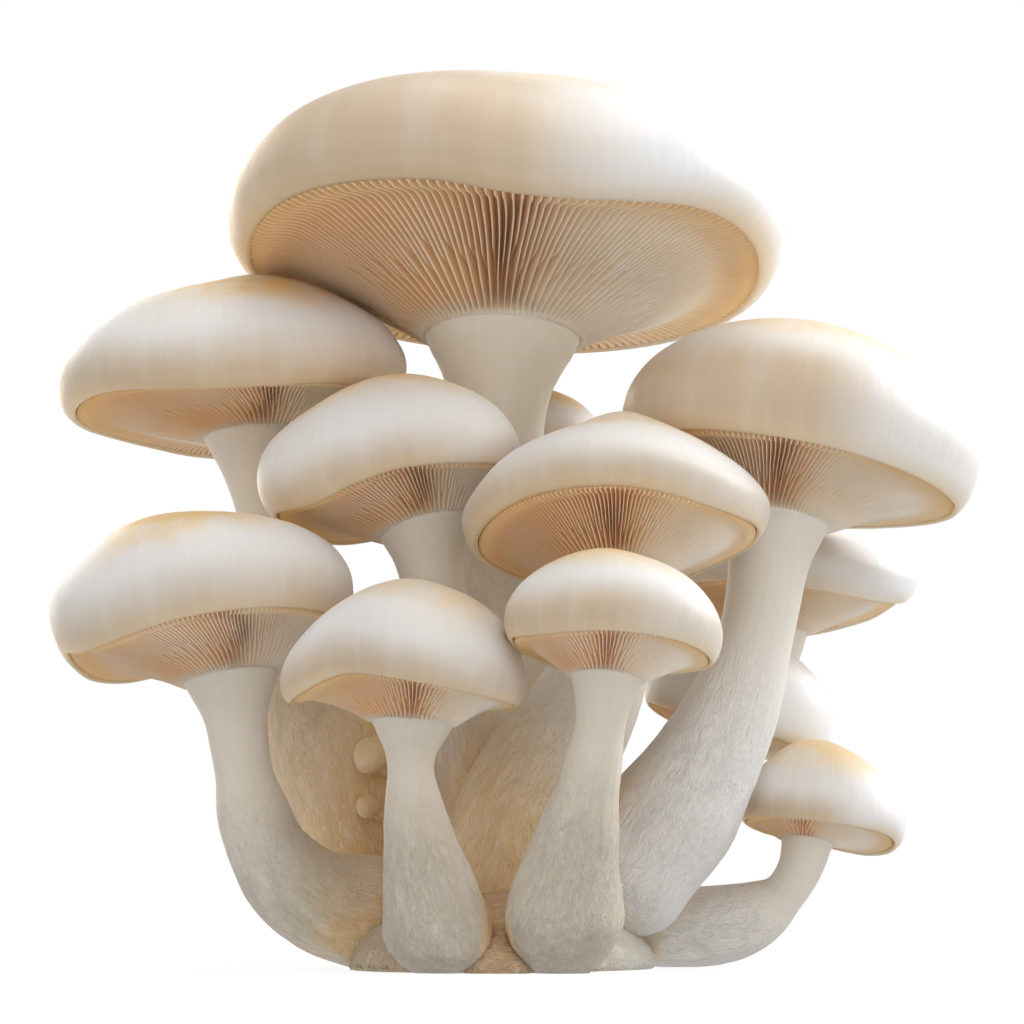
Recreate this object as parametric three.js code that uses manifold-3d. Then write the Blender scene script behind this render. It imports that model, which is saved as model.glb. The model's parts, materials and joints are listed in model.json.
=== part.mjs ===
// An oyster mushroom cluster: mushrooms of several sizes that grow from one fused base, cut flat below.
// Each mushroom is a cap, the gill layer under it and a stem. Millimetres, +Z up, the front towards -Y,
// and the origin at the middle of the cut face that the cluster stands on.
import * as THREE from "three";
import { mergeVertices } from "three/addons/utils/BufferGeometryUtils.js";
import Module from "manifold-3d";

const GAP = 0.35; // clearance between one solid and the next
const ROOF_GAP = 0.6; // clearance between the flesh and the gills, which waver differently
const LIP_INSET = 0.075; // share of the cap's radius between its outline and its lowest edge
const GILL_INSET = 0.11; // and between its outline and the outer tips of the gills
const GILL_ROOT = 0.11; // height of the flesh over the gills, as a share of the radius
const FLARE_LENGTH = 0.32; // how far below the gills the stem has lost its flare, in cap radii
const CUT = 0; // height at which the knife cut the cluster
// The fused base between the stems: its middle, half width, half depth and height.
const BASE = { at: [-4, 5], wide: 33, deep: 50, high: 16 };
// Two buds on the trunk of upper_left: foot, height of stem, radius and height of cap, and tilt forwards
// and aside in degrees.
const BUDS = {
  bud_upper: { at: [-25.5, 19.5, 39.5], stem: 5, radius: 4.2, high: 5.5, tilt: 45, aside: -42 },
  bud_lower: { at: [-26.5, 17.3, 30], stem: 4, radius: 2.4, high: 4, tilt: 45, aside: -50 },
};

// The mushrooms. at is the middle of the cap's lip, radius its half width, deep its depth over its width,
// dome the height of the crown over the widest line, round how full its outline is (2 is an ellipse),
// brim the height of the widest line over the lip, drop how far the gills run down below the lip, neck the
// half width of the stem where the gills meet it, joint how far to the side of the middle that is. lean
// tips the cap back so that its gills face the front, and roll tips it to the right, in degrees. out and
// up move the rim off a circle and off a plane at eight headings: right, right back, back and so on
// round. peak lifts the crown: how far to the right, how wide, how high. stem: places from the foot up,
// each with the stem's radius there.
const MUSHROOMS = {
  top: {
    at: [-1.5, 22, 143.5], radius: 57.5, deep: 1, dome: 31, brim: 6.5, round: 1.9, drop: 15, neck: 16.1,
    joint: 0, lean: 11, roll: 2, peak: [-4, 20, 1],
    out: [0, 2, 1, 1, 0, 3, 0, 3],
    up: [0, 0, 0.5, 1, 0, 1.5, -3, 0.5],
    ripples: [[-106, 15, 1.8], [-68, 18, -1.2]],
    stem: [
      [-3, 31, 5, 8], [-1, 36, 32, 10], [1, 35, 58, 11], [-1, 32, 83, 11], [-3, 28, 99, 10.2],
      [-4, 25, 112, 9.2],
    ],
  },
  upper_left: {
    at: [-59, 24, 114], radius: 37, deep: 0.94, dome: 21, brim: 5.5, round: 1.8, drop: 5.4, neck: 11.2,
    joint: 6, lean: 6, roll: -3, peak: [14, 14, 3.5],
    out: [0.5, -0.5, 2, 0, -2, -1, 0.5, 0.5],
    up: [3, 0.5, -2.5, 0.5, 0.5, 0.5, -2.5, -0.5],
    stem: [
      [-27, 25, 5, 8], [-33, 27, 27, 12], [-37.5, 27, 46, 13.7], [-41.5, 27, 60, 11],
      [-44.5, 27, 74.5, 9.2], [-49.5, 27, 88.5, 6.6],
    ],
  },
  middle_left: {
    at: [-22.5, -4, 93], radius: 26, deep: 0.95, dome: 19, brim: 5.5, round: 1.95, drop: 6.8, neck: 9.4,
    joint: 3.5, lean: 10, roll: -14, peak: [5, 9, 1],
    out: [0, 0, 0.5, -1, 1, 0, -0.5, 0],
    up: [0, 0, -0.5, -1, 3, -1, 0, -1],
    stem: [
      [-4, 14, 5, 6.5], [-6, 15, 25, 8.4], [-8, 11, 45, 8.6], [-12, 4, 63, 7], [-16.5, -2, 75, 6.2],
    ],
  },
  centre: {
    at: [21.5, -24, 83.5], radius: 30, deep: 0.99, dome: 18, brim: 5, round: 1.6, drop: 7, neck: 9.5,
    joint: -1, lean: 16, roll: -1, peak: [1, 10, 3.5],
    out: [-1, -0.5, 1, 1, 1, -0.5, -1.5, -0.5],
    up: [0.5, 1.5, -2, -0.5, -0.5, 1.5, 1, -2],
    stem: [
      [-1, -6, 6, 8], [-3.5, -8, 25.5, 11.6], [1.5, -9, 35.5, 12.7], [11.5, -11, 44.5, 12],
      [17, -16, 54, 10.4], [19, -23.5, 66, 8.2],
    ],
  },
  lower_left: {
    at: [-62, -16, 63.5], radius: 29.5, deep: 0.94, dome: 17, brim: 8, round: 2.05, drop: 8, neck: 9.5,
    joint: 6, lean: 8, roll: -8, peak: [-6, 10, 1.5],
    out: [2.5, 0, -0.5, 1, -1.5, -0.5, 0, -0.5],
    up: [0, 0, 1, -1.5, 1.5, -2, 0, 1],
    stem: [
      [-20, -1, 9, 8], [-27, -2, 11, 11], [-35.5, -4, 11, 10.9], [-43.6, -8, 14.2, 10],
      [-50.6, -12, 26.6, 7.7], [-53, -15, 40, 5.7],
    ],
  },
  front_left: {
    at: [-18.5, -42, 52], radius: 22.5, deep: 0.94, dome: 17, brim: 4.5, round: 1.95, drop: 5.2, neck: 8.1,
    joint: 0, lean: 4, roll: 4, peak: [-3, 8, 1],
    out: [-1.5, 0, 0, -1, 3, -2, 0.5, 0],
    up: [-0.5, 0, 0, 2, -3, 2, 0.5, -1],
    stem: [
      [-13.5, -41, -2, 6], [-13.5, -41, 2.5, 9], [-13.5, -41, 8, 10.3], [-15.5, -41, 14, 9.5],
      [-17.5, -41, 25, 7], [-19, -41, 32.5, 5.3], [-19.5, -41, 38.5, 4.3],
    ],
  },
  front_centre: {
    at: [18, -54, 59.5], radius: 20.5, deep: 0.95, dome: 14.5, brim: 4.5, round: 1.9, drop: 5, neck: 6.9,
    joint: 0, lean: 10, roll: 6, peak: [-2, 7, 1],
    out: [0.5, 0, 0.5, -0.5, -0.5, 0, 0, 0],
    up: [0, 0.5, -0.5, 0, 0.5, -1, 0, 0.5],
    stem: [
      [9.5, -43, -2, 6], [9.5, -43, 2.5, 9], [9.5, -43.5, 9.5, 11.3], [10, -46, 16, 10.2],
      [12, -48, 25, 8], [15, -50.5, 37, 5.7], [16.5, -52, 45.5, 4.6],
    ],
  },
  right: {
    at: [56.5, 6, 98], radius: 36.5, deep: 0.94, dome: 23.5, brim: 8.5, round: 1.9, drop: 9, neck: 11.1,
    joint: -2, lean: 9, roll: 10, peak: [-2, 12, 0.5],
    out: [0.5, -0.5, 0.5, 0, -0.5, 1, 0, -1.5],
    up: [-0.5, 0, -0.5, 0, 1, 0, -0.5, -0.5],
    stem: [
      [15.5, -1.5, 9, 9.4], [23.5, 1, 18.5, 12.5], [32, 3, 30, 13.2], [40, 4, 42, 11.2], [46, 4, 54, 9],
      [49.5, 4, 65, 7.6], [51, 4, 75, 7.6],
    ],
  },
  right_rear: {
    at: [58.5, 54, 76], radius: 28.5, deep: 0.96, dome: 10.5, brim: 5.5, round: 2, drop: 6, neck: 7,
    joint: -2, lean: 7, roll: 3, peak: [-1, 9, 1],
    out: [-1.5, -1.5, 0.5, 0, 0, 0.5, -0.5, 2.5],
    up: [3, 0.5, -2, 0, 0, 1, -0.5, -2],
    stem: [
      [23, 45, 5, 5], [33, 57, 25, 5], [46.5, 66, 46, 4.8], [56, 66, 59, 4.4],
    ],
  },
  low_right_rear: {
    at: [46, 36, 48], radius: 20, deep: 0.95, dome: 15.5, brim: 5, round: 2.05, drop: 5, neck: 6,
    joint: -2, lean: 4, roll: 19, peak: [-2, 7, 0.5],
    out: [-0.5, 0, 0, 0, 0.5, 0, 0, 0],
    up: [0, 0, 0, 0, 0.5, -0.5, 0, 0.5],
    stem: [
      [16, 33, 5, 5], [27.5, 36.5, 19, 5], [38.5, 38, 29, 4.4],
    ],
  },
  far_right: {
    at: [62.5, 14, 27], radius: 17, deep: 0.93, dome: 15, brim: 3, round: 1.75, drop: 2.2, neck: 5.3,
    joint: -2.5, lean: 10, roll: 8, peak: [-6, 7, 2],
    out: [0, 1, 0, -0.5, 0, 0, 0, 0],
    up: [-0.5, -1, 0.5, 0.5, 0.5, 0, -0.5, 0],
    stem: [
      [24, 21, 8, 7.4], [36, 21.5, 8, 8.2], [45.5, 21, 8.6, 7.9], [52.4, 19, 11, 6.2],
      [56.8, 16, 16, 4.4],
    ],
  },
  rear: {
    at: [3, 62, 109], radius: 16.5, deep: 0.95, dome: 11, brim: 4, round: 2, drop: 4, neck: 5,
    joint: 0, lean: -8, roll: 0, peak: [0, 6, 0.5],
    out: [0, 0, 1, 0, 0.5, 0, 0, 0],
    up: [0, 0, -1, 0, 0, 0, 0, 0],
    stem: [
      [-7, 45, 5, 5], [-4, 56, 32, 4.8], [0, 62, 62, 4.2], [2, 63, 88, 3.8],
    ],
  },
};

const smooth = (a, b, x) => {
  const t = THREE.MathUtils.clamp((x - a) / (b - a), 0, 1);
  return t * t * (3 - 2 * t);
};

// The value at a heading in degrees, drawn smoothly through eight values that go once round.
function roundThe(values, heading) {
  const place = (((heading % 360) + 360) % 360) / 45, i = Math.floor(place), t = place - i;
  const [a, b, c, d] = [-1, 0, 1, 2].map((k) => values[(i + k + 8) % 8]);
  return b + 0.5 * t * (c - a + t * (2 * a - 5 * b + 4 * c - d + t * (3 * (b - c) + d - a)));
}

// The turn that tips a cap from level to its lean and roll.
function capTurn(cap) {
  const lean = THREE.MathUtils.degToRad(cap.lean), roll = THREE.MathUtils.degToRad(cap.roll);
  return new THREE.Matrix4().makeRotationFromEuler(new THREE.Euler(-lean, roll, 0, "YXZ"));
}

// How high the rim stands over its plane at a heading.
function rimLift(cap, heading) {
  let lift = roundThe(cap.up, heading);
  for (const [at, wide, up] of cap.ripples ?? []) {
    const away = Math.abs(((heading - at + 540) % 360) - 180);
    lift += up * Math.exp(-((away / wide) ** 2));
  }
  return lift;
}

// Moves a round, level cap's points to their places: the outline goes out of round, the rim rises and
// falls, the crown rises at its peak, and the whole tips over. The middle stays round for the stem.
function shapeCap(geometry, cap) {
  const position = geometry.attributes.position, point = new THREE.Vector3(), turn = capTurn(cap);
  const [peakX, peakWide, peakUp] = cap.peak;
  for (let i = 0; i < position.count; i++) {
    point.fromBufferAttribute(position, i);
    const out = Math.hypot(point.x, point.y), angle = Math.atan2(point.y, point.x);
    const heading = THREE.MathUtils.radToDeg(angle), rim = smooth(0.2, 1, out / cap.radius);
    const crown = smooth(0, cap.dome, point.z - cap.brim), reach = out + rim * roundThe(cap.out, heading);
    const x = reach * Math.cos(angle) + cap.joint * (1 - rim) * (1 - crown);
    const y = reach * Math.sin(angle) * THREE.MathUtils.lerp(1, cap.deep, rim);
    const peak = peakUp * crown * Math.exp(-((Math.hypot(x - peakX, y) / peakWide) ** 2));
    point.set(x, y, point.z + rim * rim * rimLift(cap, heading) + peak);
    point.applyMatrix4(turn).add(new THREE.Vector3(...cap.at));
    position.setXYZ(i, point.x, point.y, point.z);
  }
  return geometry;
}

// A closed shape turned round the Z axis from [radius, height] pairs that start and end on the axis.
function turned(profile, sides) {
  const geometry = new THREE.LatheGeometry(profile.map(([r, z]) => new THREE.Vector2(r, z)), sides);
  geometry.rotateX(Math.PI / 2);
  geometry.deleteAttribute("normal");
  geometry.deleteAttribute("uv");
  return mergeVertices(geometry, 1e-4);
}

// The height of the flesh over the gills and of the gills' free edges, at a distance from the middle.
function gillLines(cap) {
  const tip = cap.radius * (1 - GILL_INSET), root = cap.radius * GILL_ROOT;
  return {
    tip,
    roof: (out) => root * (1 - 0.35 * (1 - out / tip)) - 0.06 * cap.radius * smooth(0.8, 1, out / tip),
    edge: (out) => {
      const inward = (tip - out) / (tip - cap.neck);
      return 0.035 * cap.radius - (cap.drop + 0.035 * cap.radius) * inward ** 1.35;
    },
  };
}

// The flesh of a cap: a dome over a hollow that the gill layer fills, with a rounded lip between them.
function capFlesh(cap, sides) {
  const { radius, brim, dome, round } = cap, lip = radius * (1 - LIP_INSET), { tip, roof } = gillLines(cap);
  const under = [0, 0.35, 0.65, 0.88, 1].map((s) => [s * tip, roof(s * tip) + ROOF_GAP]);
  const edge = [
    [(tip + lip) / 2, 0.01 * radius], [lip, 0], [radius * 0.975, brim * 0.35], [radius, brim],
  ];
  const over = [13, 28, 44, 60, 76].map((degrees) => {
    const a = THREE.MathUtils.degToRad(degrees);
    return [radius * Math.cos(a) ** (2 / round), brim + dome * Math.sin(a) ** (2 / round)];
  });
  return turned([...under, ...edge, ...over, [0, brim + dome]], sides);
}

// The gill layer: a shallow funnel from the stem's neck out to the lip, under the flesh.
function gillLayer(cap, sides) {
  const { tip, roof, edge } = gillLines(cap), outer = tip - 2 * GAP;
  const below = [0, 0.25, 0.5, 0.75, 0.93].map((s) => {
    const out = THREE.MathUtils.lerp(cap.neck, outer, s);
    return [out, edge(out)];
  });
  const above = [1, 0.88, 0.65, 0.35, 0].map((s) => [s * outer, roof(s * outer)]);
  return turned([[0, -cap.drop], ...below, ...above], sides);
}

// The stem's centreline: up through its places, then straight along the cap's axis to the gills.
function stemLine(cap) {
  const { stem } = cap, turn = capTurn(cap), axis = new THREE.Vector3(0, 0, 1).applyMatrix4(turn);
  const top = new THREE.Vector3(cap.joint, 0, -cap.drop - ROOF_GAP)
    .applyMatrix4(turn).add(new THREE.Vector3(...cap.at));
  const straight = top.clone().addScaledVector(axis, -cap.radius * FLARE_LENGTH * 0.6);
  const places = [...stem.map(([x, y, z]) => new THREE.Vector3(x, y, z)), straight, top];
  const radii = [...stem.map((place) => place[3]), stem.at(-1)[3], stem.at(-1)[3]];
  return { curve: new THREE.CatmullRomCurve3(places, false, "centripetal"), radii };
}

// A stem: a straight turned shape bent along its centreline. grow thickens it, to cut room for it.
function stemShape(cap, sides, grow = 0) {
  const { curve, radii } = stemLine(cap), length = curve.getLength();
  const flare = cap.radius * FLARE_LENGTH, last = radii.length - 1;
  const knots = radii.map((_, i) => i / last);
  const radiusAt = (t) => {
    const k = Math.min(last - 1, Math.floor(t * last));
    return THREE.MathUtils.lerp(radii[k], radii[k + 1], smooth(knots[k], knots[k + 1], t));
  };
  const stations = [0.03, 0.1, 0.2, 0.31, 0.42, 0.53, 0.64, 0.75, 0.84, 0.92, 0.97, 1];
  const profile = stations.map((s) => {
    const t = curve.getUtoTmapping(s), toTop = (1 - s) * length;
    const widening = (cap.neck - radii[last]) * Math.exp(-((toTop / flare) ** 1.1) * 3.5);
    const foot = Math.sqrt(1 - (1 - Math.min(1, s / 0.1)) ** 2);
    return [(radiusAt(t) + widening) * foot + grow, s * length];
  });
  const geometry = turned([[0, -grow], ...profile, [0, length]], sides);
  return bentAlong(geometry, curve, length);
}

// Bends a shape that stands on Z along a curve of the same length, without twisting it.
function bentAlong(geometry, curve, length) {
  const steps = 200, { normals, binormals } = curve.computeFrenetFrames(steps, false);
  const position = geometry.attributes.position, centre = new THREE.Vector3();
  for (let i = 0; i < position.count; i++) {
    const s = THREE.MathUtils.clamp(position.getZ(i) / length, 0, 1), k = Math.round(s * steps);
    const below = Math.min(0, position.getZ(i));
    curve.getPointAt(s, centre);
    centre.addScaledVector(curve.getTangentAt(s), below);
    centre.addScaledVector(normals[k], position.getX(i)).addScaledVector(binormals[k], position.getY(i));
    position.setXYZ(i, centre.x, centre.y, Math.max(CUT, centre.z));
  }
  return geometry;
}

const wasm = await Module();
wasm.setup();

function solid(geometry) {
  const merged = mergeVertices(geometry, 1e-4);
  return new wasm.Manifold(
    new wasm.Mesh({
      numProp: 3,
      vertProperties: new Float32Array(merged.attributes.position.array),
      triVerts: new Uint32Array(merged.index.array),
    }),
  );
}

// A solid as a geometry, without the hair-thin faces that a cut leaves: points closer than fine become one.
function meshOf(manifold, fine = 0.02) {
  const { vertProperties, triVerts } = manifold.getMesh();
  const cut = new THREE.BufferGeometry();
  cut.setAttribute("position", new THREE.BufferAttribute(vertProperties, 3));
  cut.setIndex(new THREE.BufferAttribute(triVerts, 1));
  const geometry = mergeVertices(cut, fine), corners = [...geometry.index.array], kept = [];
  for (let i = 0; i < corners.length; i += 3) {
    const face = corners.slice(i, i + 3);
    if (new Set(face).size === 3) kept.push(...face);
  }
  geometry.setIndex(kept);
  return geometry;
}

// What is left of a shape once room is made in it for the stems. Crumbs that the cut leaves loose go.
function clearOfStems(shape, stems) {
  const parts = stems.reduce((rest, stem) => rest.subtract(stem), shape).decompose();
  return parts.sort((a, b) => b.volume() - a.volume())[0];
}

// The fused base: a lumpy mound, flat below, that fills the room between the stems.
function baseMound() {
  const profile = [0, 14, 30, 46, 62, 78].map((degrees) => {
    const a = THREE.MathUtils.degToRad(degrees);
    return [Math.cos(a), Math.sin(a)];
  });
  const geometry = turned([[0, 0], [0.5, 0], [0.92, 0], ...profile, [0, 1]], 40);
  const position = geometry.attributes.position;
  for (let i = 0; i < position.count; i++) {
    const x = position.getX(i), y = position.getY(i), angle = Math.atan2(y, x);
    const lump = 1 + 0.05 * Math.sin(3 * angle + 0.6) + 0.04 * Math.sin(5 * angle + 2);
    const z = position.getZ(i) * BASE.high * (1 + 0.1 * Math.sin(4 * x + 1) * Math.cos(3 * y));
    position.setXYZ(i, BASE.at[0] + x * lump * BASE.wide, BASE.at[1] + y * lump * BASE.deep, CUT + z);
  }
  return geometry;
}

// A bud, stem and cap in one, as it first shows on the side of a trunk.
function bud({ at, stem, radius, high, tilt, aside }) {
  const neck = radius * 0.5, top = stem + high;
  const profile = [
    [0, 0], [neck * 0.9, 0.1], [neck * 1.15, stem * 0.4], [neck, stem * 0.95], [radius * 0.85, stem * 0.9],
    [radius, stem + high * 0.25], [radius * 0.9, stem + high * 0.6], [radius * 0.5, top - high * 0.12], [0, top],
  ];
  const geometry = turned(profile, 14);
  geometry.rotateX(THREE.MathUtils.degToRad(tilt));
  geometry.rotateY(THREE.MathUtils.degToRad(aside));
  geometry.translate(...at);
  return geometry;
}

const cluster = new THREE.Group();

function addNode(name, geometry, color, roughness) {
  const material = new THREE.MeshStandardMaterial({ color, roughness, metalness: 0 });
  const mesh = new THREE.Mesh(geometry, material);
  mesh.name = name;
  cluster.add(mesh);
}

const rooms = [];
for (const [name, cap] of Object.entries(MUSHROOMS)) {
  const sides = 2 * Math.round(7 + cap.radius / 9);
  addNode(name + "_cap", shapeCap(capFlesh(cap, sides), cap), 0xf4ead9, 0.45);
  addNode(name + "_gills", shapeCap(gillLayer(cap, sides), cap), 0xd9b48c, 0.7);
  addNode(name + "_stem", stemShape(cap, 14), 0xe9dfcf, 0.75);
  rooms.push(solid(stemShape(cap, 14, GAP)));
}
addNode("base", meshOf(clearOfStems(solid(baseMound()), rooms)), 0xd9c4a4, 0.85);
for (const [name, spec] of Object.entries(BUDS)) {
  addNode(name, meshOf(clearOfStems(solid(bud(spec)), rooms)), 0xf4ead9, 0.5);
}

export default cluster;
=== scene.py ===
"""Oyster mushroom cluster, built over its CAD frame: caps, gills, stems, buds, fused base and studio.

Laid out as an add-on. Every piece is a primitive that is wrapped round the rings of its CAD solid at a
fine grain, or a remeshed copy of it, and then gets the relief and colour of the living thing.
"""

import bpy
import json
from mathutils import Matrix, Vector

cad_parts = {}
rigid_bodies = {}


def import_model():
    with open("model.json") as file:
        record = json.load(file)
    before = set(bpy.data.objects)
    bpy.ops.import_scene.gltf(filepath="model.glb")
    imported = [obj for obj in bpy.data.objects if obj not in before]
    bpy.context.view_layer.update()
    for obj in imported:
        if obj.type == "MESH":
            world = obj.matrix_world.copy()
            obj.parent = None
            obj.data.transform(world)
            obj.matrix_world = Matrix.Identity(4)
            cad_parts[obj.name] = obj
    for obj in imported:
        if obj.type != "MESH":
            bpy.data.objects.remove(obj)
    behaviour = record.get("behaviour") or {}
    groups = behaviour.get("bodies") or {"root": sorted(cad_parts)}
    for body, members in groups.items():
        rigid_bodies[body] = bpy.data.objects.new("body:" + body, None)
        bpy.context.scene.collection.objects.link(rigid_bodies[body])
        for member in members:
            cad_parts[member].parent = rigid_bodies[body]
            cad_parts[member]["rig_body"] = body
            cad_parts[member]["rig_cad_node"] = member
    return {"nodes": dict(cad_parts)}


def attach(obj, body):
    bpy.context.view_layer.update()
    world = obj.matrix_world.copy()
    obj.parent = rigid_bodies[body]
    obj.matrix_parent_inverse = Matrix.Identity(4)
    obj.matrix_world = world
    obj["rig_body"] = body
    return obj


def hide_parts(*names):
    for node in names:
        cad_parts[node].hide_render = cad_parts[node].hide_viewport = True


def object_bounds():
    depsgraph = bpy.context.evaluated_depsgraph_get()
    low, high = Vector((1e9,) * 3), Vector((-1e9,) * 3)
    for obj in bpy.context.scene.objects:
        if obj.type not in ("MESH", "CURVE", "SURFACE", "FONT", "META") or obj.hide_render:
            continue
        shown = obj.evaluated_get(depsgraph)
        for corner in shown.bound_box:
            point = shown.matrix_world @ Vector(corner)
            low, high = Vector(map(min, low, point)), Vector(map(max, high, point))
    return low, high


bl_info = {
    "name": "Oyster Mushroom Cluster",
    "version": (1, 0, 0),
    "blender": (4, 5, 0),
    "location": "View3D > Sidebar > Mushrooms",
    "description": "Builds a cluster of pale oyster mushrooms over its CAD frame",
    "category": "Add Mesh",
}

import itertools
import json
import math

import bmesh
import bpy
import numpy as np
from bpy.props import FloatProperty, FloatVectorProperty, IntProperty, PointerProperty
from mathutils import Vector
from mathutils.bvhtree import BVHTree

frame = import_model()
NODES = frame["nodes"]
CAD_LOW, CAD_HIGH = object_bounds()
MM = 0.001

# The mushrooms by name, and how many fans of four gills each cap has.
MUSHROOMS = {
    "top": 44,
    "upper_left": 46,
    "middle_left": 36,
    "centre": 42,
    "lower_left": 42,
    "front_left": 33,
    "front_centre": 30,
    "right": 46,
    "right_rear": 34,
    "low_right_rear": 24,
    "far_right": 24,
    "rear": 20,
}
# How each cap's skin runs: where the beige band of painted shade over the lip starts, from the crown at 0 to
# the lip at 1, how strong the ochre mottling is, and how much painted light whitens the skin towards the
# right.
CAP_SHADING_AND_STAINS = {
    "top": (0.36, 0.55, 0.95),
    "upper_left": (0.70, 1.00, 0.10),
    "middle_left": (0.72, 1.00, 0.35),
    "centre": (0.70, 0.80, 0.25),
    "lower_left": (0.72, 1.00, 0.10),
    "front_left": (0.70, 0.60, 0.15),
    "front_centre": (0.62, 0.95, 0.30),
    "right": (0.50, 0.65, 0.70),
    "right_rear": (0.84, 0.20, 0.90),
    "low_right_rear": (0.84, 0.15, 0.95),
    "far_right": (0.72, 0.80, 0.75),
    "rear": (0.60, 0.90, 0.20),
}
# Painted light and shade on each stem, stronger towards the foot: darker above 0 for the shaded front and
# left stems, whiter below 0 for the stems lit from the right.
STEM_LIGHT_AND_SHADE = {
    "front_left": 0.90,
    "front_centre": 0.75,
    "lower_left": 0.32,
    "right": -0.85,
    "far_right": -0.60,
    "right_rear": -0.60,
    "low_right_rear": -0.60,
}
# How warm and downy the stems that stand in the middle of the cluster are towards the foot:
# partly their own tan down, partly painted shade where they stand crowded.
WARM_STEMS = {
    "upper_left": 0.50,
    "middle_left": 0.34,
    "centre": 0.46,
    "top": 0.26,
    "lower_left": 0.36,
    "right_rear": 0.25,
    "low_right_rear": 0.25,
    "rear": 0.25,
}
# Grain of each stem's surface: columns round it and rows along it.
FINE_STEMS = {
    "top": (176, 200),
    "upper_left": (200, 230),
    "centre": (176, 150),
    "lower_left": (160, 250),
    "front_left": (168, 190),
    "front_centre": (176, 200),
    "right": (216, 250),
    "far_right": (128, 190),
    "middle_left": (128, 160),
}
OTHER_STEM = (80, 120)
BUDS = ("bud_upper", "bud_lower")
# Rings of a cap's solid, counted from the pole under its roof.
ROOF_RING, LIP_RING, WIDEST_RING = 4, 6, 8
# Rings of a gill layer's solid, counted from its lower pole: the neck, and the rim where it meets the lip.
NECK_RING, RIM_RING = 1, 6
FULL_TURN = 2 * math.pi
# How close vertices are that count as one: in a CAD solid, and where a wrapped grid meets itself.
SAME_CORNER, SAME_SEAM = 0.01 * MM, 1e-7
# Faces as wide as this in the remeshed pieces, and the share of its length that the base keeps.
BASE_GRAIN, BUD_GRAIN, BASE_SHARE = 0.95 * MM, 0.22 * MM, 0.92


# ---------------------------------------------------------------- settings


class ClusterSizes(bpy.types.PropertyGroup):
    """Sizes of the fine relief."""

    gill_sway: FloatProperty(
        name="Gill sway",
        description="How far a gill wanders sideways, as a share of the space it has",
        default=0.16,
    )
    gill_depth: FloatProperty(
        name="Gill depth",
        description="How deep the gaps between gills go towards the flesh, as a share of the way",
        default=0.64,
    )
    fibre_relief: FloatProperty(
        name="Fibre relief",
        description="Height of the fibres on the stems near the foot",
        default=0.16 * MM,
        unit="LENGTH",
    )
    down_relief: FloatProperty(
        name="Down relief",
        description="Height of the down on the fused base",
        default=0.5 * MM,
        unit="LENGTH",
    )
    cap_relief: FloatProperty(
        name="Cap relief",
        description="Height of the broad swells on the caps",
        default=0.25 * MM,
        unit="LENGTH",
    )
    gill_reach: FloatProperty(
        name="Gill reach",
        description="How far the gills run out over the lip, as a share of the layer's radius",
        default=0.06075,
    )
    stem_lumps: FloatProperty(
        name="Stem lumps",
        description="Height of the broad lumps low on the stems",
        default=0.3 * MM,
        unit="LENGTH",
    )
    stem_rise: FloatProperty(
        name="Stem rise",
        description="How far a stem's top goes up into the gills",
        default=1.1 * MM,
        unit="LENGTH",
    )
    bud_relief: FloatProperty(
        name="Bud relief",
        description="Height of the dents in the buds",
        default=0.15 * MM,
        unit="LENGTH",
    )


def colour_setting(name, description, default):
    """A colour that the user can change."""
    return FloatVectorProperty(name=name, description=description, default=default, size=3, subtype="COLOR")


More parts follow.
